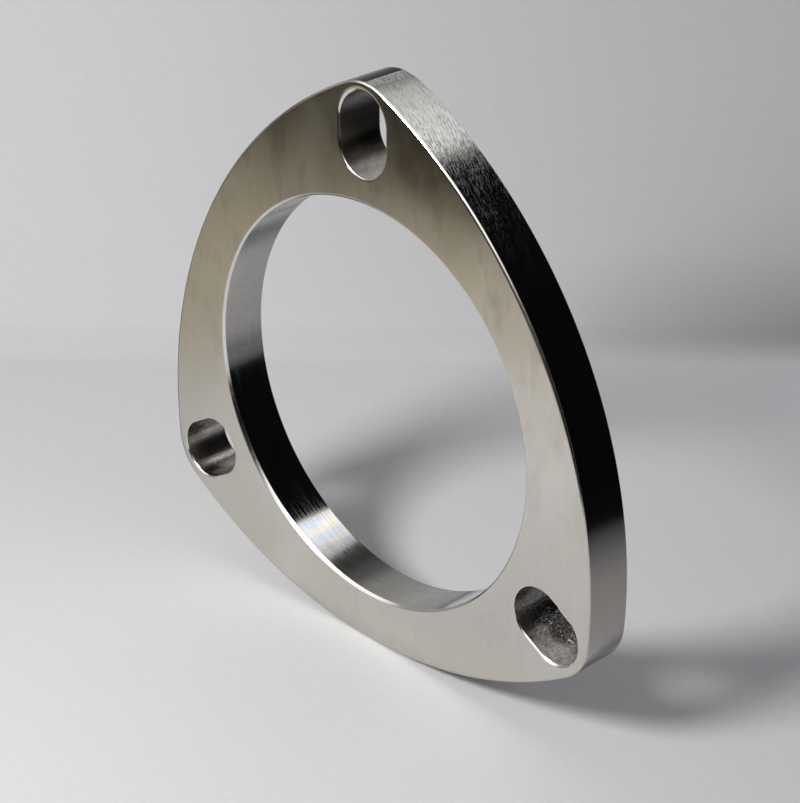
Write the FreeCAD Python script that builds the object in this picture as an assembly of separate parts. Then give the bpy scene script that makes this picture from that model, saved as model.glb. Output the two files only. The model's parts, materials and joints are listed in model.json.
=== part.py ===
import FreeCAD, Part
import math
import os

os.makedirs("parts", exist_ok=True)

# Driving dimensions, in millimetres
plate_thickness = 9.5
bore_diameter = 77.0
side_land = 10.0        # bore wall to the middle of each bowed side
inner_land = 4.7        # bore wall to the inner end of each slot
tip_land = 1.8          # outer end of each slot to the tip of its lobe
tip_radius = 10.4       # round at the end of each lobe
slot_width = 11.3
slot_travel = 3.9       # between the centres of a slot's two round ends
outer_edge_break = 0.4
bore_edge_break = 0.55
slot_edge_break = 0.3

# Directions in the plane of the plate, in degrees, with the first lobe pointing up
lobe_count = 3
first_lobe_angle = 90.0
lobe_pitch = 360.0 / lobe_count
half_pitch = lobe_pitch / 2

# Distances from the bore's axis, worked out from the driving dimensions
bore_radius = bore_diameter / 2
side_apothem = bore_radius + side_land
slot_inner_end = bore_radius + inner_land
slot_outer_end = slot_inner_end + slot_width + slot_travel
bolt_circle_radius = (slot_inner_end + slot_outer_end) / 2
tip_distance = slot_outer_end + tip_land
tip_centre_distance = tip_distance - tip_radius

# The plate stands on the middle of one side: x is across it, y through it and z is up
front_y = -plate_thickness / 2
back_y = plate_thickness / 2
through = FreeCAD.Vector(0, plate_thickness, 0)
bore_axis = FreeCAD.Vector(0, 1, 0)
flat_tolerance = 0.001


def on_plane(distance, angle, y=front_y):
    """A point at a distance from the bore's axis, in a direction given in degrees."""
    turn = math.radians(angle)
    return FreeCAD.Vector(distance * math.cos(turn), y, distance * math.sin(turn))


def step(point, distance, angle):
    """A point moved within the plane of the plate."""
    return point + on_plane(distance, angle, 0)


def bowed_side_radius():
    """The one radius that passes through a side's middle and runs tangent into both tip rounds."""
    cosine = math.cos(math.radians(half_pitch))
    q = tip_centre_distance
    h = side_apothem
    rise = q * q - 2 * q * h * cosine + h * h - tip_radius ** 2
    return rise / (2 * (h - q * cosine - tip_radius))


def lobed_outline():
    """Closed wire of bowed sides and tip rounds, each tangent to the next."""
    side_radius = bowed_side_radius()
    side_offset = side_radius - side_apothem
    edges = []
    for index in range(lobe_count):
        tip_angle = first_lobe_angle + index * lobe_pitch
        side_angle = tip_angle + half_pitch
        tip_centre = on_plane(tip_centre_distance, tip_angle)
        next_tip_centre = on_plane(tip_centre_distance, tip_angle + lobe_pitch)
        side_centre = on_plane(side_offset, side_angle + 180)
        previous_side_centre = on_plane(side_offset, side_angle - lobe_pitch + 180)

        round_start = tangent_point(previous_side_centre, tip_centre)
        round_end = tangent_point(side_centre, tip_centre)
        side_end = tangent_point(side_centre, next_tip_centre)
        tip = on_plane(tip_distance, tip_angle)
        side_middle = on_plane(side_apothem, side_angle)

        edges.append(Part.Arc(round_start, tip, round_end).toShape())
        edges.append(Part.Arc(round_end, side_middle, side_end).toShape())
    return Part.Wire(edges)


def tangent_point(side_centre, tip_centre):
    """Where a bowed side meets the tip round inside it, on the line through both centres."""
    along = (tip_centre - side_centre).normalize()
    return tip_centre + along * tip_radius


def radial_slot(angle):
    """Cutter for one bolt slot, with round ends and its long way along the radius."""
    inner_centre = on_plane(slot_inner_end + slot_width / 2, angle)
    outer_centre = on_plane(slot_outer_end - slot_width / 2, angle)
    inner_right = step(inner_centre, slot_width / 2, angle - 90)
    inner_left = step(inner_centre, slot_width / 2, angle + 90)
    outer_right = step(outer_centre, slot_width / 2, angle - 90)
    outer_left = step(outer_centre, slot_width / 2, angle + 90)
    edges = [
        Part.LineSegment(inner_right, outer_right).toShape(),
        Part.Arc(outer_right, on_plane(slot_outer_end, angle), outer_left).toShape(),
        Part.LineSegment(outer_left, inner_left).toShape(),
        Part.Arc(inner_left, on_plane(slot_inner_end, angle), inner_right).toShape(),
    ]
    return Part.Face(Part.Wire(edges)).extrude(through)


def edges_on_faces(solid, wanted):
    """Edges that lie in the front or the back face and whose middle passes the test."""
    found = []
    for edge in solid.Edges:
        box = edge.BoundBox
        lies_flat = box.YLength < flat_tolerance
        on_a_face = min(abs(box.YMin - front_y), abs(box.YMax - back_y)) < flat_tolerance
        middle = edge.valueAt((edge.FirstParameter + edge.LastParameter) / 2)
        if lies_flat and on_a_face and wanted(middle, edge):
            found.append(edge)
    return found


def is_bore_edge(middle, edge):
    from_axis = math.hypot(middle.x, middle.z)
    return abs(from_axis - bore_radius) < flat_tolerance


def is_slot_edge(middle, edge):
    """True within the band of a slot, which neither the bore nor the outline enters."""
    for index in range(lobe_count):
        angle = math.radians(first_lobe_angle + index * lobe_pitch)
        along = middle.x * math.cos(angle) + middle.z * math.sin(angle)
        across = middle.z * math.cos(angle) - middle.x * math.sin(angle)
        in_length = slot_inner_end - flat_tolerance < along < slot_outer_end + flat_tolerance
        in_width = abs(across) < slot_width / 2 + flat_tolerance
        if in_length and in_width:
            return True
    return False


def is_outline_edge(middle, edge):
    return not is_bore_edge(middle, edge) and not is_slot_edge(middle, edge)


def flange_plate():
    plate = Part.Face(lobed_outline()).extrude(through)
    bore_start = FreeCAD.Vector(0, front_y, 0)
    cutters = [Part.makeCylinder(bore_radius, plate_thickness, bore_start, bore_axis)]
    for index in range(lobe_count):
        cutters.append(radial_slot(first_lobe_angle + index * lobe_pitch))
    plate = plate.cut(cutters)
    plate = plate.makeChamfer(outer_edge_break, edges_on_faces(plate, is_outline_edge))
    plate = plate.makeChamfer(bore_edge_break, edges_on_faces(plate, is_bore_edge))
    plate = plate.makeChamfer(slot_edge_break, edges_on_faces(plate, is_slot_edge))
    return plate


def report(name, shape):
    box = shape.BoundBox
    print(name, "valid", shape.isValid(), "solids", len(shape.Solids))
    print("  volume", round(shape.Volume, 1), "mm3")
    print("  size", round(box.XLength, 2), round(box.YLength, 2), round(box.ZLength, 2))
    print("  side radius", round(bowed_side_radius(), 2))
    print("  bolt circle", round(2 * bolt_circle_radius, 2))


flange = flange_plate().Solids[0]
report("flange_plate", flange)
flange.exportStep("parts/flange_plate.step")
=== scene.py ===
import bpy
import json
import math
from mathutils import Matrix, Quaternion, Vector


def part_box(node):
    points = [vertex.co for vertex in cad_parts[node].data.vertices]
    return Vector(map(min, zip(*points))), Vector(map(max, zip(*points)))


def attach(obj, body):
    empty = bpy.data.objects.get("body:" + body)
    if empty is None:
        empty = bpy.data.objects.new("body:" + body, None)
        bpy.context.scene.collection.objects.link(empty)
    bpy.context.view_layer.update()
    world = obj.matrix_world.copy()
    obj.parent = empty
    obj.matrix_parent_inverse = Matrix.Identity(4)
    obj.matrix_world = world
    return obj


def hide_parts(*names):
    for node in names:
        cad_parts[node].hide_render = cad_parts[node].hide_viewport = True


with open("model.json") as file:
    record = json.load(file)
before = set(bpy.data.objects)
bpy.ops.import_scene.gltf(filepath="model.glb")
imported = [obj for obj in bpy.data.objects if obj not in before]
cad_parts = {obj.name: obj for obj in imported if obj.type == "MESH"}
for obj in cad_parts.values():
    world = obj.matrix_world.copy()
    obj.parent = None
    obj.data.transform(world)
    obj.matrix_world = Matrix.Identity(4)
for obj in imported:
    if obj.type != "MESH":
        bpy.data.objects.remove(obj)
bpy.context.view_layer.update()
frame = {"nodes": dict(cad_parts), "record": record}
plateLow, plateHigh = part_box("flange_plate")
mounts = {mount["name"]: mount for mount in frame["record"]["mounts"]}
print("frame loaded:", ", ".join(frame["nodes"]))

mm = 0.001
fullTurn = 2 * math.pi
lobePitch = fullTurn / 3
firstLobe = math.radians(90)  # this lobe points up


def addObject(name, data):
    obj = bpy.data.objects.new(name, data)
    bpy.context.scene.collection.objects.link(obj)
    return obj


# Small helpers for node trees

def feed(tree, socket, value):
    if isinstance(value, bpy.types.NodeSocket):
        tree.links.new(value, socket)
    else:
        socket.default_value = value


def addNode(tree, kind, feeds=None, **settings):
    node = tree.nodes.new(kind)
    for name, value in settings.items():
        setattr(node, name, value)
    for place, value in (feeds or {}).items():
        feed(tree, node.inputs[place], value)
    return node


def calc(tree, operation, *values):
    node = addNode(tree, "ShaderNodeMath", operation=operation)
    for socket, value in zip(node.inputs, values):
        feed(tree, socket, value)
    return node.outputs[0]


def minus(tree, first, second):
    return calc(tree, "SUBTRACT", first, second)


def product(tree, first, *others):
    for other in others:
        first = calc(tree, "MULTIPLY", first, other)
    return first


def vectorOf(tree, x=0.0, y=0.0, z=0.0):
    return addNode(tree, "ShaderNodeCombineXYZ", {"X": x, "Y": y, "Z": z}).outputs[0]


def axesOf(tree, vector):
    return addNode(tree, "ShaderNodeSeparateXYZ", {0: vector}).outputs  # X, Y and Z


def onVectors(tree, operation, *vectors):
    node = addNode(tree, "ShaderNodeVectorMath", dict(enumerate(vectors)), operation=operation)
    return node.outputs["Value" if operation in ("LENGTH", "DISTANCE", "DOT_PRODUCT") else "Vector"]


def scaled(tree, vector, share):
    return addNode(tree, "ShaderNodeVectorMath", {0: vector, "Scale": share}, operation="SCALE").outputs[0]


# A level that changes between two places, from 0 to 1 unless told otherwise. The looks below list such
# changes in the same order: the two places, and the level at each.
def rescale(tree, value, lowIn, highIn, lowOut=0.0, highOut=1.0, curve="LINEAR"):
    feeds = {0: value, 1: lowIn, 2: highIn, 3: lowOut, 4: highOut}
    return addNode(tree, "ShaderNodeMapRange", feeds, interpolation_type=curve).outputs[0]


def noise(tree, place, perMetre=1.0, detail=2.0, sharpness=0.5):
    feeds = {"Vector": place, "Scale": perMetre, "Detail": detail, "Roughness": sharpness}
    return addNode(tree, "ShaderNodeTexNoise", feeds).outputs["Fac"]


def mixColours(tree, share, first, second, blend="MIX"):
    feeds = {0: share, 6: first, 7: second}  # 6 and 7 are the node's two colours
    return addNode(tree, "ShaderNodeMix", feeds, data_type="RGBA", blend_type=blend).outputs[2]


# Finishes of the steel. Heights are from the bore's middle. A spot is its middle, then how far out it
# starts to fade and where it ends, and a bump is its strength and depth.

steelColour = (0.68, 0.656, 0.61, 1)


def newMaterial(name):
    material = bpy.data.materials.new(name)
    material.use_nodes = True
    material.node_tree.nodes.clear()
    return material, material.node_tree


# Where a point lies on its object, or how far along one axis
def onObject(tree, axis=None):
    place = addNode(tree, "ShaderNodeTexCoord").outputs["Object"]
    return axesOf(tree, place)[axis] if axis else place


# A noise over the part, with as many waves per metre along x, y and z as asked
def grain(tree, perMetre, detail=2.0, sharpness=0.5):
    stretched = addNode(tree, "ShaderNodeMapping", {"Vector": onObject(tree), "Scale": perMetre})
    return noise(tree, stretched.outputs[0], 1.0, detail, sharpness)


# A noise over a wall: waves per metre along the wall and across it, its streaks slanted by a slope
def wallGrain(tree, alongWall, acrossWall, slant=0.0, detail=2.0, sharpness=0.5):
    along = addNode(tree, "ShaderNodeAttribute", attribute_name="along").outputs["Fac"]
    across = minus(tree, onObject(tree, "Y"), product(tree, along, slant))
    spot = vectorOf(tree, product(tree, along, alongWall), product(tree, across, acrossWall))
    return noise(tree, spot, 1.0, detail, sharpness)


def byHeight(tree, *levels):
    return rescale(tree, onObject(tree, "Z"), *levels, curve="SMOOTHSTEP")


def spotOf(tree, middle, full, end, centre=(0, 0, 0)):
    middle = tuple(start + shift for start, shift in zip(centre, middle))
    away = onVectors(tree, "DISTANCE", onObject(tree), middle)
    return rescale(tree, away, full, end, 1.0, 0.0, "SMOOTHSTEP")


# Lays the stains of a look over a colour one after another, each by its share
def overlay(tree, colour, look, shares):
    for name, share in shares.items():
        colour = mixColours(tree, share, colour, look[name])
    return colour


def finishMetal(tree, colour, roughness, relief, bump, stretch=0.0, metallic=1.0):
    strength, depth = bump
    raised = addNode(tree, "ShaderNodeBump", {"Height": relief, "Strength": strength, "Distance": depth})
    feeds = {"Base Color": colour, "Roughness": roughness, "Metallic": metallic, "Normal": raised.outputs[0]}
    shader = addNode(tree, "ShaderNodeBsdfPrincipled", feeds)
    if stretch:
        lay = addNode(tree, "ShaderNodeTangent", direction_type="RADIAL", axis="Y")
        shader.inputs["Anisotropic"].default_value = stretch
        tree.links.new(lay.outputs[0], shader.inputs["Tangent"])
    addNode(tree, "ShaderNodeOutputMaterial", {"Surface": shader.outputs[0]})


faceLook = {
    "roughness": 0.22,
    "clouds": (0.645, 0.625, 0.555, 1),
    # warm tint in patches, stronger towards the top as a painted reflection of the dark room that the face's
    # top mirrors
    "heat": (0.45, 0.415, 0.34, 1),
    "heat by height": (15 * mm, 50 * mm, 0.0, 0.55),
    "smudges": (0.36, 0.345, 0.31, 1),
    "smudges by height": (-20 * mm, 42 * mm, 0.12, 0.6),
    "slot stain": (0.25, 0.228, 0.18, 1),  # between the top slot and the lobe's right edge
    "slot stain by height": (40 * mm, 49 * mm),
    "slot stain from the left": (2 * mm, 10 * mm),
    "lines": (0.5, 0.48, 0.45, 1),
    "specks": (0.34, 0.32, 0.29, 1),
    "bump": (0.12, 0.012 * mm),
}


def groundFace():
    material, tree = newMaterial("groundFace")
    fine = grain(tree, (3500, 3500, 3500), 3.0)
    brushed = grain(tree, (1400, 1400, 120), 3.0, 0.6)
    ground = calc(tree, "MULTIPLY_ADD", brushed, 0.6, product(tree, fine, 0.4))
    clouds = rescale(tree, grain(tree, (55, 55, 40), 3.0, 0.6), 0.36, 0.64)
    heat = rescale(tree, grain(tree, (90, 90, 45), 3.0, 0.6), 0.42, 0.62)
    smudges = rescale(tree, grain(tree, (210, 210, 75), 4.0, 0.65), 0.50, 0.68)
    blotches = rescale(tree, grain(tree, (300, 300, 160), 4.0, 0.6), 0.3, 0.6, 0.5, 1.0)
    besideSlot = rescale(tree, onObject(tree, "X"), *faceLook["slot stain from the left"])
    colour = overlay(tree, steelColour, faceLook, {
        "clouds": clouds,
        # painted reflection: warm, darker patches that grow towards the top
        "heat": product(tree, heat, byHeight(tree, *faceLook["heat by height"])),
        "smudges": product(tree, smudges, byHeight(tree, *faceLook["smudges by height"])),
        "slot stain": product(tree, besideSlot, byHeight(tree, *faceLook["slot stain by height"]), blotches),
        "lines": rescale(tree, ground, 0.36, 0.64, 0.0, 0.16),
        "specks": rescale(tree, grain(tree, (1900, 1900, 1900), 1.0), 0.70, 0.76, 0.0, 0.5),
    })
    roughness = calc(tree, "MULTIPLY_ADD", clouds, 0.06, faceLook["roughness"] - 0.03)
    finishMetal(tree, colour, roughness, ground, faceLook["bump"])
    return material


rimLook = {
    "roughness": 0.12,
    "worn by height": (28 * mm, 45 * mm, 0.1, 1.0),
    "worn from the left": (0.0, 1 * mm, 0.25, 1.0),
    "frost": (0.64, 0.645, 0.62, 1),
    "frost by height": (0.0, 40 * mm),
    "scratches": (0.36, 0.37, 0.35, 1),
    "scratches by height": (40 * mm, 52 * mm, 0.4, 0.9),
    "lines": (0.50, 0.46, 0.40, 1),
    "bump": (0.38, 0.02 * mm),
    "stretched highlight": 0.3,
}


def brushedRim():
    material, tree = newMaterial("brushedRim")
    long = rescale(tree, wallGrain(tree, 480, 2900, 0.2), 0.46, 0.66)
    short = rescale(tree, wallGrain(tree, 900, 3600, 0.3, 1.0), 0.48, 0.66)
    patches = rescale(tree, wallGrain(tree, 90, 400, 0.2), 0.35, 0.6, 0.6, 1.0)
    wearAndPaintedLight = product(tree, byHeight(tree, *rimLook["worn by height"]), patches,
                   rescale(tree, onObject(tree, "X"), *rimLook["worn from the left"]))
    strokes = product(tree, calc(tree, "MAXIMUM", long, short), wearAndPaintedLight)
    colour = overlay(tree, steelColour, rimLook, {
        "frost": byHeight(tree, *rimLook["frost by height"]),
        "scratches": product(tree, strokes, byHeight(tree, *rimLook["scratches by height"])),
        "lines": rescale(tree, wallGrain(tree, 45, 2100), 0.42, 0.62, 0.0, 0.17),
    })
    roughness = calc(tree, "MULTIPLY_ADD", strokes, 0.22, rimLook["roughness"] - 0.04)
    finishMetal(tree, colour, roughness, strokes, rimLook["bump"], rimLook["stretched highlight"])
    return material


boreLook = {
    "roughness": 0.09,
    "colour": (0.68, 0.665, 0.63, 1),
    "film": ((0.60, 0.65, 0.74, 1), (0.76, 0.715, 0.61, 1)),  # painted sheen: bluish and yellowish bands across the one spot where the bore shows its bright highlight
    "film spot": ((-17 * mm, 0, -34.5 * mm), 5 * mm, 9 * mm),
    "lines": (0.46, 0.455, 0.45, 1),
    "bump": (0.25, 0.02 * mm),
    "stretched highlight": 0.3,
}


def turnedBore():
    material, tree = newMaterial("turnedBore")
    hoops = wallGrain(tree, 90, 2600, 0.0, 3.0, 0.6)
    chatter = wallGrain(tree, 1100, 260, 0.0, 3.0, 0.6)
    marks = calc(tree, "MULTIPLY_ADD", chatter, 0.5, product(tree, hoops, 0.5))
    # Painted sheen: coloured bands over the spot of the bore's bright highlight
    bands = rescale(tree, wallGrain(tree, 560, 110, 0.0, 1.0), 0.38, 0.62)
    film = mixColours(tree, bands, *boreLook["film"])
    colour = mixColours(tree, spotOf(tree, *boreLook["film spot"]), boreLook["colour"], film)
    colour = overlay(tree, colour, boreLook, {"lines": rescale(tree, marks, 0.4, 0.62, 0.0, 0.35)})
    roughness = rescale(tree, hoops, 0.35, 0.65, boreLook["roughness"] - 0.04, boreLook["roughness"] + 0.07)
    finishMetal(tree, colour, roughness, marks, boreLook["bump"], boreLook["stretched highlight"])
    return material


slotLook = {
    "roughness": 0.34,
    "colour": (0.66, 0.635, 0.6, 1),
    "dull": (0.34, 0.32, 0.295, 1),
    "shade": (0.17, 0.155, 0.135, 1),
    "shade in the top slot": (8.5 * mm, 2 * mm, 0.3, 0.85),  # above its middle
    # Painted light: the top slot's lower end is lighter, rougher and less metallic below these depths under
    # its middle, and more so to the right
    "worn in the top slot": (-1.8 * mm, -5.5 * mm),
    "worn from the left": (-4 * mm, 0.0, 0.4, 1.0),
    # painted light: the colour of a lighter spot low in the right slot
    "rubbed": (0.74, 0.72, 0.68, 1),
    "rubbed spot": ((1 * mm, -3.2 * mm, -6 * mm), 2.5 * mm, 5.5 * mm),  # painted light low in the right slot, placed from its middle
    "pits": (0.26, 0.245, 0.22, 1),
    "pitted spot": ((0, 0, 0), 12 * mm, 14 * mm),
    "dents": (0.13, 0.125, 0.12, 1),
    "dented spots": (
        ((-2.4 * mm, 3.2 * mm, -5.2 * mm), 2.4 * mm, 4.6 * mm),
        ((-5.2 * mm, 1.8 * mm, -3.2 * mm), 1 * mm, 3 * mm),
    ),
    "bump": (0.6, 0.05 * mm),
}


def milledSlot():
    material, tree = newMaterial("milledSlot")
    rightMiddle = mounts["slot_right"]["pos_m"]
    inTop = byHeight(tree, 0.0, 20 * mm)  # no other slot reaches as high
    ragged = grain(tree, (900, 500, 900), 3.0, 0.6)
    height = calc(tree, "MULTIPLY_ADD", ragged, 3.5 * mm, onObject(tree, "Z"))
    height = minus(tree, height, mounts["slot_top"]["pos_m"][2])
    # Painted light on the top slot's lower end: lighter, rougher and less metallic there
    fromLeft = rescale(tree, onObject(tree, "X"), *slotLook["worn from the left"])
    wearAndPaintedLight = product(tree, rescale(tree, height, *slotLook["worn in the top slot"]), inTop, fromLeft)
    shade = rescale(tree, height, *slotLook["shade in the top slot"])
    shade = product(tree, shade, minus(tree, 1.0, wearAndPaintedLight), inTop)

    # Painted light: a lighter, duller, less metallic spot low in the right slot
    rubbed = spotOf(tree, *slotLook["rubbed spot"], rightMiddle)
    wearAndPaintedLight = calc(tree, "MAXIMUM", wearAndPaintedLight, rubbed)
    pits = rescale(tree, grain(tree, (1900, 1300, 1900), 4.0, 0.65), 0.44, 0.62)
    pits = product(tree, pits, spotOf(tree, *slotLook["pitted spot"], rightMiddle))
    dented = calc(tree, "MAXIMUM", *[spotOf(tree, *spot, rightMiddle) for spot in slotLook["dented spots"]])
    dents = rescale(tree, grain(tree, (1300, 1100, 1300), 3.0, 0.6), 0.4, 0.6)
    dents = product(tree, dents, dented)

    torn = grain(tree, (1500, 1100, 1500), 5.0, 0.65)
    lines = wallGrain(tree, 2600, 260, 0.0, 3.0, 0.6)
    marks = calc(tree, "MULTIPLY_ADD", lines, 0.35, product(tree, torn, 0.65))
    colour = overlay(tree, slotLook["colour"], slotLook, {
        "dull": product(tree, rescale(tree, marks, 0.38, 0.62), rescale(tree, wearAndPaintedLight, 0.0, 1.0, 1.0, 0.6)),
        "shade": shade,
        "rubbed": product(tree, rubbed, 0.6),
        "pits": product(tree, pits, 0.7),
        "dents": product(tree, dented, rescale(tree, dents, 0.5, 0.9, 0.8, 0.0)),
    })
    cuts = rescale(tree, wallGrain(tree, 420, 40), 0.35, 0.65, -0.05, 0.08)
    roughness = calc(tree, "MULTIPLY_ADD", inTop, 0.10, slotLook["roughness"] - 0.10)
    roughness = calc(tree, "ADD", calc(tree, "MULTIPLY_ADD", wearAndPaintedLight, 0.25, roughness), cuts)
    roughness = calc(tree, "MULTIPLY_ADD", dented, -0.16, roughness)
    relief = calc(tree, "MULTIPLY_ADD", dents, 3.5, calc(tree, "MULTIPLY_ADD", pits, -0.8, marks))
    # less metallic where light is painted
    metallic = calc(tree, "MULTIPLY_ADD", wearAndPaintedLight, -0.35, 1.0)
    finishMetal(tree, colour, roughness, relief, slotLook["bump"], 0.0, metallic)
    return material


edgeLook = {
    "roughness": 0.13,
    "colour": (0.74, 0.72, 0.69, 1),
    "dark": (0.13, 0.125, 0.115, 1),  # on the outline at the left, above the left lobe
    "dark by height": (-14 * mm, -4 * mm, 0.0, 0.95),
    "dark to the left": (-9 * mm, -18 * mm),
    "dark off the bore's axis": (41 * mm, 43 * mm),
    "bump": (0.1, 0.01 * mm),
}


def brokenEdge():
    material, tree = newMaterial("brokenEdge")
    nicks = grain(tree, (900, 900, 900))
    colour = mixColours(tree, rescale(tree, nicks, 0.3, 0.7, 0.0, 0.15), edgeLook["colour"], steelColour)
    offAxis = onVectors(tree, "LENGTH", onVectors(tree, "MULTIPLY", onObject(tree), (1, 0, 1)))
    dark = product(tree, rescale(tree, onObject(tree, "X"), *edgeLook["dark to the left"]),
                   byHeight(tree, *edgeLook["dark by height"]),
                   rescale(tree, offAxis, *edgeLook["dark off the bore's axis"]))
    colour = overlay(tree, colour, edgeLook, {"dark": dark})
    roughness = rescale(tree, nicks, 0.3, 0.7, edgeLook["roughness"] - 0.02, edgeLook["roughness"] + 0.06)
    finishMetal(tree, colour, roughness, nicks, edgeLook["bump"])
    return material


# The flange: one plate with bowed sides, round lobes, a bore and three slots. Its tree works in the
# plane of the plate, with the front face up, and turns the result upright at its end.

flangeLook = {
    "sizes": {  # all of these are inputs of the tree
        "outline break": 0.27 * mm,
        "bore break": 0.55 * mm,
        "slot break": 0.3 * mm,
        "shoulder round": 0.08 * mm,  # where a broken edge meets the face and the wall
        "shoulder steps": 3,  # facets of each small round
        "lead share": 3.0,  # straight run beside each small round, in radii of it
        "roll off": 0.055 * mm,  # how far the face drops beside a broken edge
        "outline points": 720,
        "slot points": 180,
        "slot wall rows": 34,
        "slot tearing": 0.012 * mm,
        "slot tearing waves": 900.0,  # per metre
        "rim wall rows": 10,
        "edge lean": 0.3,  # what leans from the wall by more than this is painted as a broken edge
        "face lean": 0.93,  # and by more than this, as the face
        "weld distance": 0.002 * mm,
    },
    # Edges broken by hand: the least share of the sizes above, and the angles towards which there is
    # more in front. A slot's angles are as if it were the top one.
    "hand breaks": {
        "bore": {"least": 0.62, "more": ((235, 0.45),)},
        "slots": (
            {"turned to": 90, "least": 0.35, "more": ((130, 0.85), (65, 0.85), (245, 0.2))},
            {"turned to": 210, "least": 0.2, "more": ((120, 0.85),)},
            {"turned to": 330, "least": 0.25, "more": ((38, 1.15),)},
        ),
        "narrowing": 1.6,  # of the stretches where there is more
    },
    # The top lobe was touched up by hand and has a flat there, between these angles on its round
    "flat": {"from": 88.0, "to, at the front": 79.0, "to, at the back": 71.0},
}


# Sizes of the plate, worked out from the frame
def plateSizes():
    thickness = plateHigh.y - plateLow.y
    apothem = -plateLow.z
    tipReach = plateHigh.z
    halfPitch = lobePitch / 2
    lean = math.cos(math.radians(30))  # a side's middle is this far round from the plate's widest point
    sideRadius = (plateHigh.x - apothem * lean) / (1 - lean)
    sideCentre = sideRadius - apothem  # beyond the axis from its side
    spare = sideRadius ** 2 - tipReach ** 2 - sideCentre ** 2 - sideCentre * tipReach
    tipRadius = spare / (sideRadius - 2 * tipReach + apothem)
    tipCentre = tipReach - tipRadius
    joinAngle = math.atan2(sideCentre * math.sin(halfPitch), tipCentre + sideCentre * math.cos(halfPitch))
    slot = mounts["slot_top"]
    slotRadius = slot["dims"]["hole_r_mm"] * mm
    return {
        "thickness": thickness,
        "bore radius": mounts["bore"]["dims"]["r_mm"] * mm,
        "side radius": sideRadius,
        "side centre": sideCentre,
        "tip radius": tipRadius,
        "tip centre": tipCentre,
        "join angle": joinAngle,
        "slot radius": slotRadius,
        "slot travel": slot["dims"]["slot_length_mm"] * mm - 2 * slotRadius,
        "slot centre": slot["pos_m"][2],
    }


def inputOf(tree, kind):
    return addNode(tree, "GeometryNodeInput" + kind).outputs[0]


def setPlaces(tree, shape, feeds):
    return addNode(tree, "GeometryNodeSetPosition", {"Geometry": shape, **feeds}).outputs[0]


# The turn of each point of a path that goes round once
def turnsOf(tree, points, start=0.0):
    turn = calc(tree, "DIVIDE", product(tree, inputOf(tree, "Index"), fullTurn), points)
    return calc(tree, "ADD", turn, start)


# A closed path whose points lie where the field says, with its normals level
def pathAlong(tree, points, position):
    circle = addNode(tree, "GeometryNodeCurvePrimitiveCircle", {"Resolution": points, "Radius": 1.0})
    placed = setPlaces(tree, circle.outputs[0], {"Position": position})
    return addNode(tree, "GeometryNodeSetCurveNormal", {"Curve": placed}, mode="Z_UP").outputs[0]


def pick(tree, condition, ifNot, ifSo):
    feeds = {"Switch": condition, "False": ifNot, "True": ifSo}
    return addNode(tree, "GeometryNodeSwitch", feeds, input_type="FLOAT").outputs[0]


def polar(tree, distance, angle):
    return (product(tree, distance, calc(tree, "COSINE", angle)),
            product(tree, distance, calc(tree, "SINE", angle)))


# The outline: at each turn, a side's round or a lobe's. It starts and ends where the plate stands.
def lobedPath(tree, given):
    turn = turnsOf(tree, given["outline points"], -math.pi / 2)
    lobes = calc(tree, "DIVIDE", minus(tree, turn, firstLobe), lobePitch)
    tipAngle = calc(tree, "MULTIPLY_ADD", calc(tree, "ROUND", lobes), lobePitch, firstLobe)
    halfLobes = calc(tree, "ADD", calc(tree, "FLOOR", lobes), 0.5)
    farAngle = calc(tree, "MULTIPLY_ADD", halfLobes, lobePitch, firstLobe + math.pi)
    offTip = calc(tree, "ABSOLUTE", minus(tree, turn, tipAngle))
    onTip = calc(tree, "LESS_THAN", offTip, given["join angle"])
    centre = polar(tree, pick(tree, onTip, given["side centre"], given["tip centre"]),
                   pick(tree, onTip, farAngle, tipAngle))
    around = polar(tree, pick(tree, onTip, given["side radius"], given["tip radius"]), turn)
    x, y = (calc(tree, "ADD", *parts) for parts in zip(centre, around))
    return pathAlong(tree, given["outline points"], vectorOf(tree, x, y))


def borePath(tree, given):
    turn = turnsOf(tree, given["outline points"], math.pi / 2)
    return pathAlong(tree, given["outline points"], vectorOf(tree, *polar(tree, given["bore radius"], turn)))


# The top slot: a circle whose halves are drawn apart along the radius
def slotPath(tree, given):
    x, y = polar(tree, given["slot radius"], turnsOf(tree, given["slot points"]))
    halfTravel = product(tree, given["slot travel"], 0.5)
    raised = calc(tree, "ADD", y, given["slot centre"])
    drawn = calc(tree, "MULTIPLY_ADD", calc(tree, "SIGN", y), halfTravel, raised)
    path = pathAlong(tree, given["slot points"], vectorOf(tree, x, drawn))
    feeds = {"Curve": path, "Count": given["slot points"]}
    even = addNode(tree, "GeometryNodeResampleCurve", feeds, mode="COUNT")
    return addNode(tree, "GeometryNodeSetCurveNormal", {"Curve": even.outputs[0]}, mode="Z_UP").outputs[0]


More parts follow.
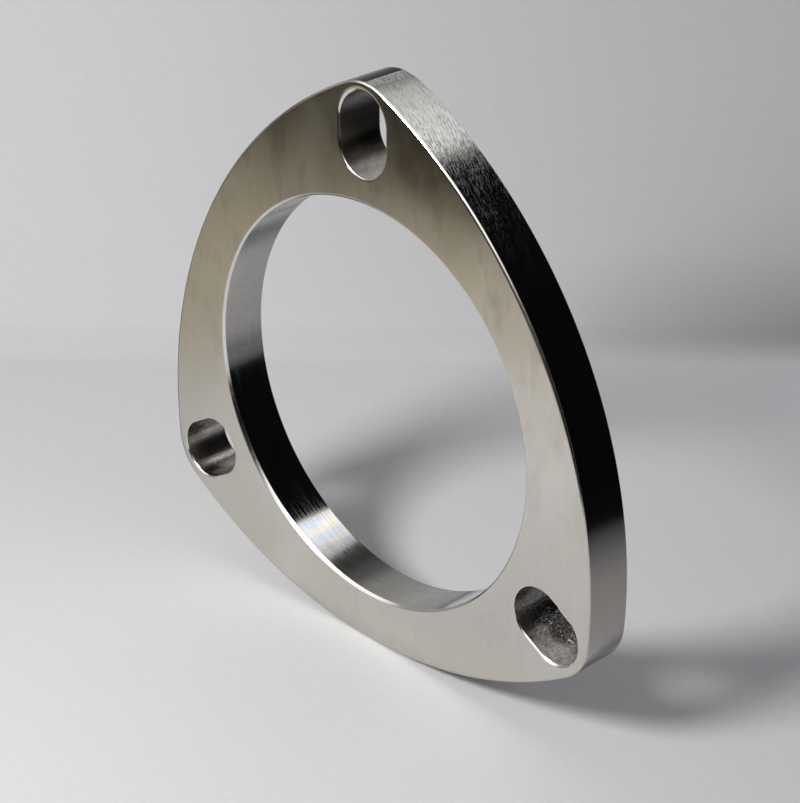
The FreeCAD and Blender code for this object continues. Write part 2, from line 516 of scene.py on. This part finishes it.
# Section through a wall and its two broken edges, front to back. Outwards is 1 where the steel lies
# outside the path, as round a hole, and -1 where it lies inside.
def edgeSection(tree, given, breakSize, outwards, wallRows):
    half = product(tree, given["thickness"], 0.5)
    lead = product(tree, given["shoulder round"], given["lead share"])
    depths = [half, half, minus(tree, half, given["roll off"])]
    depths.append(minus(tree, half, breakSize))
    depths.append(minus(tree, depths[3], lead))
    rolled = calc(tree, "ADD", breakSize, lead)
    insets = [calc(tree, "MULTIPLY_ADD", lead, 0.5, rolled), rolled, breakSize, 0.0, 0.0]
    switch = addNode(tree, "GeometryNodeIndexSwitch", data_type="VECTOR")
    while len(switch.index_switch_items) < 2 * len(depths):
        switch.index_switch_items.new()
    tree.links.new(inputOf(tree, "Index"), switch.inputs["Index"])
    corners = list(zip(insets, depths))
    for number, (inset, depth) in enumerate(corners):
        across = product(tree, inset, outwards)
        mirrored = 2 * len(corners) - 1 - number
        feed(tree, switch.inputs[str(number)], vectorOf(tree, across, product(tree, depth, -1.0)))
        feed(tree, switch.inputs[str(mirrored)], vectorOf(tree, across, depth))
    line = addNode(tree, "GeometryNodeMeshLine", {"Count": 2 * len(corners)})
    chain = addNode(tree, "GeometryNodeMeshToCurve", {"Mesh": line.outputs[0]})
    placed = setPlaces(tree, chain.outputs[0], {"Position": switch.outputs[0]})

    # Only the third and fourth corners from each end are rounded. The wall is the long stretch that starts
    # after two corners and two rounds, and is cut into rows.
    index = inputOf(tree, "Index")
    offMiddle = calc(tree, "ABSOLUTE", minus(tree, index, len(corners) - 0.5))
    steps = product(tree, calc(tree, "COMPARE", offMiddle, 2.0, 0.75), given["shoulder steps"])
    feeds = {"Curve": placed, "Count": steps, "Radius": given["shoulder round"]}
    rounded = addNode(tree, "GeometryNodeFilletCurve", feeds, mode="POLY")
    wallStart = calc(tree, "MULTIPLY_ADD", given["shoulder steps"], 2.0, 4.0)
    cuts = product(tree, calc(tree, "COMPARE", index, wallStart, 0.5), wallRows)
    return addNode(tree, "GeometryNodeSubdivideCurve", {"Curve": rounded.outputs[0], "Cuts": cuts}).outputs[0]


def named(tree, name, kind="FLOAT"):
    node = addNode(tree, "GeometryNodeInputNamedAttribute", {"Name": name}, data_type=kind)
    return node.outputs["Attribute"]


def store(tree, shape, name, value, kind="FLOAT", domain="POINT"):
    feeds = {"Geometry": shape, "Name": name, "Value": value}
    return addNode(tree, "GeometryNodeStoreNamedAttribute", feeds, data_type=kind, domain=domain).outputs[0]


# Draws a section along a path. Each point keeps the place on the path that it came from, and each face
# corner how far along the path it lies, which is the whole length where the last faces close the round.
def sweep(tree, path, section):
    path = store(tree, path, "along", addNode(tree, "GeometryNodeSplineParameter").outputs["Length"])
    path = store(tree, path, "onPath", inputOf(tree, "Position"), "FLOAT_VECTOR")
    length = addNode(tree, "GeometryNodeCurveLength", {"Curve": path}).outputs[0]
    shape = addNode(tree, "GeometryNodeCurveToMesh", {"Curve": path, "Profile Curve": section}).outputs[0]
    along = named(tree, "along")
    faceMean = addNode(tree, "GeometryNodeFieldOnDomain", {"Value": along}, data_type="FLOAT", domain="FACE")
    behind = minus(tree, faceMean.outputs[0], along)
    closing = calc(tree, "GREATER_THAN", behind, product(tree, length, 0.25))
    return store(tree, shape, "along", calc(tree, "MULTIPLY_ADD", closing, length, along), domain="CORNER")


def flip(tree, shape):
    return addNode(tree, "GeometryNodeFlipFaces", {"Mesh": shape}).outputs[0]


# Sets a material, on all faces or on those that lean from the wall by more than the steepness
def paint(tree, shape, material, steepness=None):
    feeds = {"Geometry": shape, "Material": material}
    if steepness is not None:
        lean = axesOf(tree, inputOf(tree, "Normal"))["Z"]
        feeds["Selection"] = calc(tree, "GREATER_THAN", calc(tree, "ABSOLUTE", lean), steepness)
    return addNode(tree, "GeometryNodeSetMaterial", feeds).outputs[0]


# The direction across a slot or the bore, away from its middle line, at each point's place on the path
def outOfHole(tree, centre, halfTravel):
    spot = axesOf(tree, named(tree, "onPath", "FLOAT_VECTOR"))
    up = minus(tree, spot["Y"], centre)
    nearest = calc(tree, "MAXIMUM", up, product(tree, halfTravel, -1.0))
    nearest = calc(tree, "MINIMUM", nearest, halfTravel)
    return onVectors(tree, "NORMALIZE", vectorOf(tree, spot["X"], minus(tree, up, nearest)))


# Breaks the front edge of a hole by more where it was deburred by more, and shifts the wall to suit
def deburr(tree, given, shape, breakSize, outwards, amounts):
    half = product(tree, given["thickness"], 0.5)
    place = inputOf(tree, "Position")
    onPath = named(tree, "onPath", "FLOAT_VECTOR")
    depth = axesOf(tree, place)["Z"]
    front = calc(tree, "GREATER_THAN", depth, 0.0)
    share = amounts["least"]
    for angle, extra in amounts["more"]:
        towards = (math.cos(math.radians(angle)), math.sin(math.radians(angle)), 0)
        facing = calc(tree, "MAXIMUM", onVectors(tree, "DOT_PRODUCT", outwards, towards), 0.0)
        facing = calc(tree, "POWER", facing, flangeLook["hand breaks"]["narrowing"])
        share = calc(tree, "ADD", share, product(tree, facing, extra, front))
    fromFace = minus(tree, half, calc(tree, "ABSOLUTE", depth))
    edge = calc(tree, "ADD", breakSize, product(tree, given["shoulder round"], given["lead share"]))
    wider = product(tree, edge, share)
    wallShare = calc(tree, "DIVIDE", minus(tree, half, wider), minus(tree, half, edge))
    newDepth = product(tree, calc(tree, "MINIMUM", fromFace, edge), share)
    below = calc(tree, "MAXIMUM", minus(tree, fromFace, edge), 0.0)
    newDepth = minus(tree, half, calc(tree, "MULTIPLY_ADD", below, wallShare, newDepth))
    newDepth = product(tree, newDepth, calc(tree, "SIGN", depth))
    offset = scaled(tree, onVectors(tree, "SUBTRACT", place, onPath), share)
    moved = axesOf(tree, onVectors(tree, "ADD", onPath, offset))
    return setPlaces(tree, shape, {"Position": vectorOf(tree, moved["X"], moved["Y"], newDepth)})


def turnedTo(tree, shape, angle):
    feeds = {"Geometry": shape, "Rotation": (0, 0, math.radians(angle) - firstLobe)}
    return addNode(tree, "GeometryNodeTransform", feeds).outputs[0]


# Grinds the flat on the top lobe's rim. At each depth it is a chord of the lobe's round.
def grindFlat(tree, given, shape):
    place = axesOf(tree, inputOf(tree, "Position"))
    up = minus(tree, place["Y"], given["tip centre"])
    angle = calc(tree, "DEGREES", calc(tree, "ARCTAN2", up, place["X"]))
    half = product(tree, given["thickness"], 0.5)
    flat = flangeLook["flat"]
    low = rescale(tree, place["Z"], product(tree, half, -1.0), half,
                  flat["to, at the back"], flat["to, at the front"])
    middle = product(tree, calc(tree, "ADD", low, flat["from"]), 0.5)
    reach = minus(tree, flat["from"], middle)
    off = minus(tree, angle, middle)
    on = calc(tree, "LESS_THAN", calc(tree, "ABSOLUTE", off), reach)
    on = product(tree, on, calc(tree, "GREATER_THAN", up, 0.0))
    closer = calc(tree, "DIVIDE", calc(tree, "COSINE", calc(tree, "RADIANS", reach)),
                  calc(tree, "COSINE", calc(tree, "RADIANS", off)))
    x = product(tree, place["X"], closer)
    y = calc(tree, "MULTIPLY_ADD", up, closer, given["tip centre"])
    return setPlaces(tree, shape, {"Selection": on, "Position": vectorOf(tree, x, y, place["Z"])})


# Moves the slot walls in and out a little, as the cutter left them, and leaves their edges alone
def tear(tree, given, shape):
    place = inputOf(tree, "Position")
    depth = calc(tree, "ABSOLUTE", axesOf(tree, place)["Z"])
    half = product(tree, given["thickness"], 0.5)
    edge = minus(tree, half, product(tree, given["slot break"], 2.0))
    share = rescale(tree, depth, minus(tree, edge, 1 * mm), edge, 1.0, 0.0)
    waves = noise(tree, place, given["slot tearing waves"], 3.0, 0.6)
    amount = product(tree, minus(tree, waves, 0.5), share, 2.0, given["slot tearing"])
    offset = scaled(tree, inputOf(tree, "Normal"), amount)
    return setPlaces(tree, shape, {"Offset": offset})


# Fills between the open rims of the walls on one side of the plate: 1 is the front, -1 the back
def flatFace(tree, given, walls, side):
    depth = axesOf(tree, inputOf(tree, "Position"))["Z"]
    onSide = calc(tree, "GREATER_THAN", product(tree, depth, side), 0.0)
    loose = calc(tree, "COMPARE", inputOf(tree, "MeshEdgeNeighbors"), 1.0, 0.5)
    feeds = {"Mesh": walls, "Selection": product(tree, onSide, loose)}
    rims = addNode(tree, "GeometryNodeMeshToCurve", feeds)
    filled = addNode(tree, "GeometryNodeFillCurve", {"Curve": rims.outputs[0]}, mode="TRIANGLES").outputs[0]
    if side < 0:
        filled = flip(tree, filled)
    lift = vectorOf(tree, z=product(tree, given["thickness"], side / 2))
    return setPlaces(tree, filled, {"Offset": lift})


def join(tree, *shapes):
    node = addNode(tree, "GeometryNodeJoinGeometry")
    for shape in shapes:
        tree.links.new(shape, node.inputs[0])
    return node.outputs[0]


def flangeTree(finishes, sizes):
    tree = bpy.data.node_groups.new("flangeShape", "GeometryNodeTree")
    tree.interface.new_socket("Geometry", in_out="OUTPUT", socket_type="NodeSocketGeometry")
    for name, value in sizes.items():
        kind = "NodeSocketInt" if isinstance(value, int) else "NodeSocketFloat"
        tree.interface.new_socket(name, in_out="INPUT", socket_type=kind)
    given = {socket.name: socket for socket in addNode(tree, "NodeGroupInput").outputs}

    rim = edgeSection(tree, given, given["outline break"], -1.0, given["rim wall rows"])
    rim = grindFlat(tree, given, sweep(tree, lobedPath(tree, given), rim))
    bore = edgeSection(tree, given, given["bore break"], 1.0, 0.0)
    bore = flip(tree, sweep(tree, borePath(tree, given), bore))
    breaks = flangeLook["hand breaks"]
    bore = deburr(tree, given, bore, given["bore break"], outOfHole(tree, 0.0, 0.0), breaks["bore"])

    slot = edgeSection(tree, given, given["slot break"], 1.0, given["slot wall rows"])
    slot = flip(tree, sweep(tree, slotPath(tree, given), slot))
    outwards = outOfHole(tree, given["slot centre"], product(tree, given["slot travel"], 0.5))
    turned = []
    for amounts in breaks["slots"]:
        broken = deburr(tree, given, slot, given["slot break"], outwards, amounts)
        turned.append(turnedTo(tree, broken, amounts["turned to"]))
    slots = tear(tree, given, paint(tree, join(tree, *turned), finishes["slot"]))

    walls = join(tree, paint(tree, rim, finishes["rim"]), paint(tree, bore, finishes["bore"]), slots)
    walls = paint(tree, walls, finishes["edge"], given["edge lean"])
    walls = paint(tree, walls, finishes["face"], given["face lean"])
    front = paint(tree, flatFace(tree, given, walls, 1), finishes["face"])
    back = paint(tree, flatFace(tree, given, walls, -1), finishes["face"])
    feeds = {"Geometry": join(tree, walls, front, back), "Distance": given["weld distance"]}
    closed = addNode(tree, "GeometryNodeMergeByDistance", feeds)
    feeds = {"Geometry": closed.outputs[0], "Rotation": (math.radians(90), 0, 0)}
    upright = addNode(tree, "GeometryNodeTransform", feeds)
    smooth = addNode(tree, "GeometryNodeSetShadeSmooth", {"Geometry": upright.outputs[0]})
    real = addNode(tree, "GeometryNodeRealizeInstances", {"Geometry": smooth.outputs[0]})
    addNode(tree, "NodeGroupOutput", {0: real.outputs[0]})
    return tree


def flangePlate():
    finishes = {
        "face": groundFace(),
        "rim": brushedRim(),
        "bore": turnedBore(),
        "slot": milledSlot(),
        "edge": brokenEdge(),
    }
    sizes = {**plateSizes(), **flangeLook["sizes"]}
    tree = flangeTree(finishes, sizes)
    holder = addObject("flangePlateTree", bpy.data.meshes.new("flangePlateTree"))
    modifier = holder.modifiers.new("flangeShape", "NODES")
    modifier.node_group = tree
    for socket in tree.interface.items_tree:
        if socket.in_out == "INPUT":
            modifier[socket.identifier] = sizes[socket.name]
    depsgraph = bpy.context.evaluated_depsgraph_get()
    mesh = bpy.data.meshes.new_from_object(holder.evaluated_get(depsgraph))
    mesh.name = "flangePlate"
    mesh.materials.pop(index=list(mesh.materials).index(None))  # the slot that joining leaves empty
    bpy.data.objects.remove(holder)
    print("flange plate:", len(mesh.polygons), "faces,", len(mesh.materials), "finishes")
    return addObject("flangePlate", mesh)


plate = flangePlate()
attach(plate, "root")
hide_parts("flange_plate")


# The stage: a pale paper floor and a backdrop of the same paper. The steel mirrors them in the tones
# that the room gives them, and the room itself above and beside them.

backdropDistance = 117.3 * mm
backdropFacing = (0.7067, -0.7075, 0)
backdropRight = (0.7075, 0.7067, 0)
coveRadius = 7 * mm  # of the bend between the floor and the backdrop


def stageObject(name, vertices, faces, material):
    mesh = bpy.data.meshes.new(name)
    mesh.from_pydata(vertices, [], faces)
    mesh.materials.append(material)
    obj = addObject(name, mesh)
    return obj


# A tone that follows a list of places and levels, even beyond its ends
def toneAlong(tree, value, stops):
    low, high = stops[0][0], stops[-1][0]
    ramp = addNode(tree, "ShaderNodeValToRGB", {0: rescale(tree, value, low, high)})
    elements = ramp.color_ramp.elements
    while len(elements) < len(stops):
        elements.new(0.5)
    for element, (place, tone) in zip(elements, stops):
        element.position = (place - low) / (high - low)
        element.color = (tone if isinstance(tone, tuple) else (tone, tone, tone)) + (1,)
    return ramp.outputs[0]


# How far a point of the stage lies along a direction
def distanceAlong(tree, direction, start=0.0):
    place = addNode(tree, "ShaderNodeNewGeometry").outputs["Position"]
    return minus(tree, onVectors(tree, "DOT_PRODUCT", place, direction), start)


# A share that runs between two levels over a stretch of a direction
def fadeAlong(tree, direction, *levels):
    return rescale(tree, distanceAlong(tree, direction), *levels)


def mixShaders(tree, share, first, second):
    return addNode(tree, "ShaderNodeMixShader", {0: share, 1: first, 2: second}).outputs[0]


def tinted(tree, colour, tint):
    return mixColours(tree, 1.0, colour, tint, "MULTIPLY")


def grey(tree, level):
    return vectorOf(tree, level, level, level)


paperLook = {
    "colour": (0.88, 0.885, 0.90, 1),
    "fibres": 900.0,  # per metre
    "fibre tone": 0.975,
    # painted shade, darker towards the left
    "left side": (-150 * mm, 20 * mm, 0.93, 1.0),
    "right side": (20 * mm, 110 * mm),
    "lighter at the right": [  # painted light: distance in front of the backdrop, and how much lighter it is there
        (7 * mm, 0.06), (15 * mm, 0.12), (29 * mm, 0.18), (45 * mm, 0.16), (62 * mm, 0.06), (90 * mm, 0.02),
    ],
}


def paperShader(tree, tint):
    fibres = noise(tree, onObject(tree), paperLook["fibres"], 4.0, 0.6)
    shaded = tuple(paperLook["fibre tone"] * part for part in paperLook["colour"][:3]) + (1,)
    colour = mixColours(tree, rescale(tree, fibres, 0.35, 0.65), paperLook["colour"], shaded)
    return addNode(tree, "ShaderNodeBsdfDiffuse", {"Color": tinted(tree, colour, tint)}).outputs[0]


# Painted shade and light: how much darker the paper is at the left, and lighter at the right beside the
# backdrop
def sideTone(tree, across, inFront):
    left = rescale(tree, across, *paperLook["left side"])
    beside = toneAlong(tree, inFront, paperLook["lighter at the right"])
    return calc(tree, "MULTIPLY_ADD", rescale(tree, across, *paperLook["right side"]), beside, left)


floorLook = {
    "reach": 6.0,
    "wash": [  # painted light and shade: distance in front of the backdrop, and how much lighter or darker the paper is there
        (7 * mm, 1.05), (35 * mm, 0.995), (60 * mm, 0.95), (130 * mm, 0.90), (260 * mm, 0.85),
    ],
    # What the steel mirrors: a direction, then places along it and the tones there
    "front left": ((-0.72, -0.694, 0), [
        (40 * mm, (1.0, 0.995, 1.01)), (70 * mm, (1.05, 1.04, 1.06)), (100 * mm, (0.98, 0.96, 0.95)),
        (135 * mm, (0.77, 0.71, 0.60)), (165 * mm, (0.78, 0.72, 0.575)), (200 * mm, (0.75, 0.67, 0.51)),
    ]),
    "right": ((0.77, 0.64, 0), [
        (32 * mm, 1.0), (39 * mm, 0.76), (45 * mm, 0.68), (50 * mm, 0.98), (57 * mm, 0.84),
        (63 * mm, 0.68), (75 * mm, 0.61), (110 * mm, 0.56), (170 * mm, 0.2), (200 * mm, 0.01),
    ]),
    "far in front": ((-0.10, -1.25, 0), 186 * mm, 234 * mm),
    "far in front, tone": (0.03, 0.026, 0.018, 1),
    "behind": ((0, 1, 0), 30 * mm, 46 * mm, 1.0, 0.70),
    "left": ((-0.35, 1, 0), 0, 16 * mm, 1.0, 0.06),
    # The left is nowhere darker than this
    "left, least": [((1, 0, 0), -78 * mm, -70 * mm), ((0, 1, 0), 38 * mm, 57 * mm, 0.0, 0.78)],
    "foot": (-1 * mm, 5 * mm, 9 * mm, 0.8, 1.0),  # painted shadow along the plate's foot, seen only in the steel: the line that the plate stands on, then beside it
}


# Plain paper, which fades to the dark room in front and to the right for what the steel mirrors
def floorMaterial():
    material, tree = newMaterial("floorPaper")
    direction, stops = floorLook["front left"]
    near = toneAlong(tree, distanceAlong(tree, direction), stops)
    far = fadeAlong(tree, *floorLook["far in front"])
    mirrored = mixColours(tree, far, near, floorLook["far in front, tone"])
    direction, stops = floorLook["right"]
    right = toneAlong(tree, distanceAlong(tree, direction), stops)
    left = fadeAlong(tree, *floorLook["left"])
    for least in floorLook["left, least"]:
        left = calc(tree, "MAXIMUM", left, fadeAlong(tree, *least))
    dim = product(tree, calc(tree, "MINIMUM", fadeAlong(tree, *floorLook["behind"]), right), left)
    # Painted shadow along the plate's foot, for what the steel mirrors
    footLine, *levels = floorLook["foot"]
    offFoot = calc(tree, "ABSOLUTE", distanceAlong(tree, (0, 1, 0), footLine))
    dim = product(tree, dim, rescale(tree, offFoot, *levels))
    mirrored = tinted(tree, mirrored, grey(tree, dim))

    inFront = distanceAlong(tree, backdropFacing, -backdropDistance)
    side = sideTone(tree, distanceAlong(tree, backdropRight), inFront)
    wash = tinted(tree, toneAlong(tree, inFront, floorLook["wash"]), grey(tree, side))
    inSteel = addNode(tree, "ShaderNodeLightPath").outputs["Is Glossy Ray"]
    tint = mixColours(tree, inSteel, wash, tinted(tree, wash, mirrored))
    addNode(tree, "ShaderNodeOutputMaterial", {"Surface": paperShader(tree, tint)})
    return material


def makeFloor():
    reach = floorLook["reach"]
    corners = [(x * reach, y * reach, plateLow.z) for x, y in ((-1, -1), (1, -1), (1, 1), (-1, 1))]
    stageObject("floor", corners, [(0, 1, 2, 3)], floorMaterial())


backdropLook = {
    "height": 1.6,
    "half width": 3.0,
    "tone by height": (0.0, 85 * mm, 0.90, 0.755),  # painted shade, darker higher up; heights here are from the floor
    # painted shade, darker at the left
    "left side": (-150 * mm, -50 * mm, 0.965, 1.0),
    # Painted shade and shadow: how much darker some parts are, with the plate's shadow painted low at the
    # right
    "far right": (100 * mm, 150 * mm, 0.0, 0.11),
    "low at the right": (5 * mm, 90 * mm, 0.2, 0.0),
    "low, from the left": (30 * mm, 130 * mm),
    "lowest at the right": (3 * mm, 26 * mm, 0.27, 0.0),
    "lowest, from the left": (20 * mm, 110 * mm),
    # The bend down to the floor
    "bend steps": 12,
    "bend blend": 2.5,
    "bend light": 1.15,  # how much more light it catches than the floor and the wall
    # What the steel mirrors: a band, and above it the room. Heights are from the bore's middle.
    "mirrored": [  # how far up and to the right, and the tone there
        (-50 * mm, 0.345), (-26 * mm, 0.41), (-7 * mm, 0.36), (20 * mm, 0.30), (36 * mm, 0.29),
        (50 * mm, 0.215), (64 * mm, 0.12), (84 * mm, 0.09), (105 * mm, 0.045),
    ],
    "mirrored far right": (100 * mm, 150 * mm),
    "mirrored far right, tone": (0.006, 0.006, 0.006, 1),
    "mirrored top": 121 * mm,
    "mirrored top slope": -0.07,
    "mirrored top edge": (-3 * mm, 5 * mm),
}


# What the steel mirrors of the backdrop: a band that darkens with height and to the right, and ends
def mirroredBand(tree, height, across, clear):
    tone = toneAlong(tree, calc(tree, "ADD", height, across), backdropLook["mirrored"])
    farRight = rescale(tree, across, *backdropLook["mirrored far right"])
    tone = mixColours(tree, farRight, tone, backdropLook["mirrored far right, tone"])
    band = addNode(tree, "ShaderNodeEmission", {"Color": tone}).outputs[0]
    slope = backdropLook["mirrored top slope"]
    top = calc(tree, "MULTIPLY_ADD", across, slope, backdropLook["mirrored top"])
    above = rescale(tree, minus(tree, height, top), *backdropLook["mirrored top edge"])
    return mixShaders(tree, above, band, clear)


# Plain paper, which can't be seen from behind
def backdropMaterial():
    material, tree = newMaterial("backdropPaper")
    across = distanceAlong(tree, backdropRight)
    height = distanceAlong(tree, (0, 0, 1), plateLow.z)
    # Painted shade: darker higher up and at the left
    wall = product(tree, rescale(tree, height, *backdropLook["tone by height"]),
                   rescale(tree, across, *backdropLook["left side"]))
    # Painted shadow of the plate low at the right, and painted shade at the far right
    low = product(tree, rescale(tree, height, *backdropLook["low at the right"], curve="SMOOTHSTEP"),
                  rescale(tree, across, *backdropLook["low, from the left"]))
    lowest = product(tree, rescale(tree, height, *backdropLook["lowest at the right"]),
                     rescale(tree, across, *backdropLook["lowest, from the left"]))
    farRight = rescale(tree, across, *backdropLook["far right"])
    darker = calc(tree, "ADD", calc(tree, "ADD", low, lowest), farRight)
    wall = product(tree, wall, minus(tree, 1.0, darker))

    normal = addNode(tree, "ShaderNodeNewGeometry").outputs["Normal"]
    lean = calc(tree, "ABSOLUTE", axesOf(tree, normal)["Z"])  # 1 at the floor, 0 up the wall
    upright = calc(tree, "SQRT", minus(tree, 1.0, product(tree, lean, lean)))
    lit = rescale(tree, calc(tree, "ADD", lean, upright), 1.0, math.sqrt(2), 1.0, backdropLook["bend light"])
    foot = product(tree, sideTone(tree, across, coveRadius), floorLook["wash"][0][1])
    blend = calc(tree, "POWER", lean, backdropLook["bend blend"])
    dim = calc(tree, "DIVIDE", rescale(tree, blend, 0.0, 1.0, wall, foot), lit)

    paper = paperShader(tree, grey(tree, dim))
    clear = addNode(tree, "ShaderNodeBsdfTransparent").outputs[0]
    band = mirroredBand(tree, distanceAlong(tree, (0, 0, 1)), across, clear)
    inSteel = addNode(tree, "ShaderNodeLightPath").outputs["Is Glossy Ray"]
    front = mixShaders(tree, inSteel, paper, band)
    behind = addNode(tree, "ShaderNodeNewGeometry").outputs["Backfacing"]
    addNode(tree, "ShaderNodeOutputMaterial", {"Surface": mixShaders(tree, behind, front, clear)})
    return material


def makeBackdrop():
    facing = Vector(backdropFacing).normalized()
    along = Vector((0, 0, 1)).cross(facing)
    foot = -facing * backdropDistance
    steps = backdropLook["bend steps"]
    section = []
    for step in range(steps + 1):
        angle = math.radians(90 * step / steps)
        section.append((coveRadius * (1 - math.sin(angle)), coveRadius * (1 - math.cos(angle))))
    section.append((0, backdropLook["height"]))
    vertices = []
    for away, height in section:
        for end in (-backdropLook["half width"], backdropLook["half width"]):
            vertices.append(foot + facing * away + along * end + Vector((0, 0, plateLow.z + height)))
    faces = [(2 * k, 2 * k + 1, 2 * k + 3, 2 * k + 2) for k in range(len(section) - 1)]
    backdrop = stageObject("backdrop", vertices, faces, backdropMaterial())
    backdrop.data.shade_smooth()
    backdrop.visible_diffuse = False
    backdrop.visible_shadow = False


roomLook = {  # turns are in degrees to the right, from straight ahead or in the front half from its middle
    "fill": (0.26, 0.26, 0.27, 1),
    "ahead": [  # turn, and the tone there
        (-50, 0.55), (-44, 0.68), (-34, 0.27), (-27, 0.48), (-15, 0.52), (-6, 0.84), (8, 1.05),
    ],
    "high ahead": [(48, 1.0), (54, 1.35)],  # rise, and how much brighter it is there
    "edge": (0.75, -25.3),  # turn of the window's slanted edge for each degree of rise, and at the horizon
    "edge softness": (-1.0, 3.0),
    "dark": 0.002,  # to the right of that edge
    "dark ends": (75.0, 95.0, 1.0, 0.0),
    "ahead half": (10.0, 85.0),  # its middle, and how far it reaches to each side
    "in front": 0.30,
    "murky turns": (0.0, 30.0),  # here the front fades to the dark
    "murky rises": (16.0, 30.0, 1.0, 0.0),
    "window": 1.3,
    "window turns": ((-75.0, -55.0), (24.0, 36.0, 1.0, 0.0)),
    "window rises": ((18.0, 27.0), (60.0, 75.0, 1.0, 0.0)),
}


# A bright window ahead on the left, which ends at a slanted edge, with a dark room to its right, and
# in front a duller room with a window in it
def makeWorld():
    world = bpy.data.worlds.new("studio")
    bpy.context.scene.world = world
    world.use_nodes = True
    tree = world.node_tree
    tree.nodes.clear()
    parts = axesOf(tree, addNode(tree, "ShaderNodeTexCoord").outputs["Generated"])
    turn = calc(tree, "DEGREES", calc(tree, "ARCTAN2", parts["X"], parts["Y"]))
    rise = calc(tree, "DEGREES", calc(tree, "ARCSINE", parts["Z"]))
    ahead = toneAlong(tree, turn, roomLook["ahead"])
    ahead = tinted(tree, ahead, toneAlong(tree, rise, roomLook["high ahead"]))
    offEdge = minus(tree, turn, calc(tree, "MULTIPLY_ADD", rise, *roomLook["edge"]))
    dark = product(tree, rescale(tree, offEdge, *roomLook["edge softness"]),
                   rescale(tree, turn, *roomLook["dark ends"]))
    ahead = mixColours(tree, dark, ahead, (roomLook["dark"],) * 3 + (1,))

    backwards = product(tree, parts["Y"], -1.0)
    fromFront = calc(tree, "DEGREES", calc(tree, "ARCTAN2", parts["X"], backwards))
    window = roomLook["window"]
    for value, ends in ((fromFront, roomLook["window turns"]), (rise, roomLook["window rises"])):
        for levels in ends:
            window = product(tree, rescale(tree, value, *levels), window)
    murky = product(tree, rescale(tree, fromFront, *roomLook["murky turns"]),
                    rescale(tree, rise, *roomLook["murky rises"]))
    around = rescale(tree, murky, 0.0, 1.0, roomLook["in front"], roomLook["dark"])
    front = calc(tree, "MAXIMUM", window, around)
    middle, half = roomLook["ahead half"]
    inFront = calc(tree, "GREATER_THAN", calc(tree, "ABSOLUTE", minus(tree, turn, middle)), half)
    room = mixColours(tree, inFront, ahead, grey(tree, front))

    shown = addNode(tree, "ShaderNodeBackground", {"Color": room})
    fill = addNode(tree, "ShaderNodeBackground", {"Color": roomLook["fill"]})
    path = addNode(tree, "ShaderNodeLightPath").outputs
    seen = calc(tree, "MAXIMUM", path["Is Camera Ray"], path["Is Glossy Ray"])
    seen = calc(tree, "MAXIMUM", seen, path["Is Transmission Ray"])
    surface = mixShaders(tree, seen, fill.outputs[0], shown.outputs[0])
    addNode(tree, "ShaderNodeOutputWorld", {"Surface": surface})


keyLight = {
    "place": (-35 * mm, -241 * mm, 200 * mm),
    "size": (114 * mm, 100 * mm),
    "power": 0.848,
    "colour": (1.0, 0.99, 0.97),
}


def makeKeyLight():
    lamp = bpy.data.lights.new("keyLight", "AREA")
    lamp.shape = "ELLIPSE"
    lamp.size, lamp.size_y = keyLight["size"]
    lamp.energy = keyLight["power"]
    lamp.color = keyLight["colour"]
    obj = addObject("keyLight", lamp)
    obj.location = keyLight["place"]
    obj.rotation_euler = (-obj.location).to_track_quat("-Z", "Y").to_euler()


makeFloor()
makeBackdrop()
print("floor and backdrop made")
makeWorld()
makeKeyLight()
print("room and key light made")


# The camera, at the photograph's viewing angle

photoCamera = {
    "azimuth": 47.106,
    "elevation": 27.720,
    "distance": 408.71 * mm,
    "aim": (8.788 * mm, 4.365 * mm),  # across and up on the front face
    "roll": -0.2656,
    "lens": 104.10,
    "sensor width": 36,
}


def makeCamera():
    azimuth = math.radians(photoCamera["azimuth"])
    elevation = math.radians(photoCamera["elevation"])
    level = math.cos(elevation)
    back = Vector((math.sin(azimuth) * level, -math.cos(azimuth) * level, math.sin(elevation)))
    camera = addObject("photoCamera", bpy.data.cameras.new("photoCamera"))
    camera.location = Vector((0, plateLow.y, 0)) + back * photoCamera["distance"]
    across, up = photoCamera["aim"]
    aim = Vector((across, plateLow.y, up))
    roll = Quaternion((0, 0, 1), math.radians(photoCamera["roll"]))
    camera.rotation_mode = "QUATERNION"
    camera.rotation_quaternion = (aim - camera.location).to_track_quat("-Z", "Y") @ roll
    camera.data.lens = photoCamera["lens"]
    camera.data.sensor_width = photoCamera["sensor width"]
    camera.data.clip_start = 0.01
    bpy.context.scene.camera = camera


makeCamera()
bpy.context.scene.view_settings.view_transform = "Standard"
print("camera set")
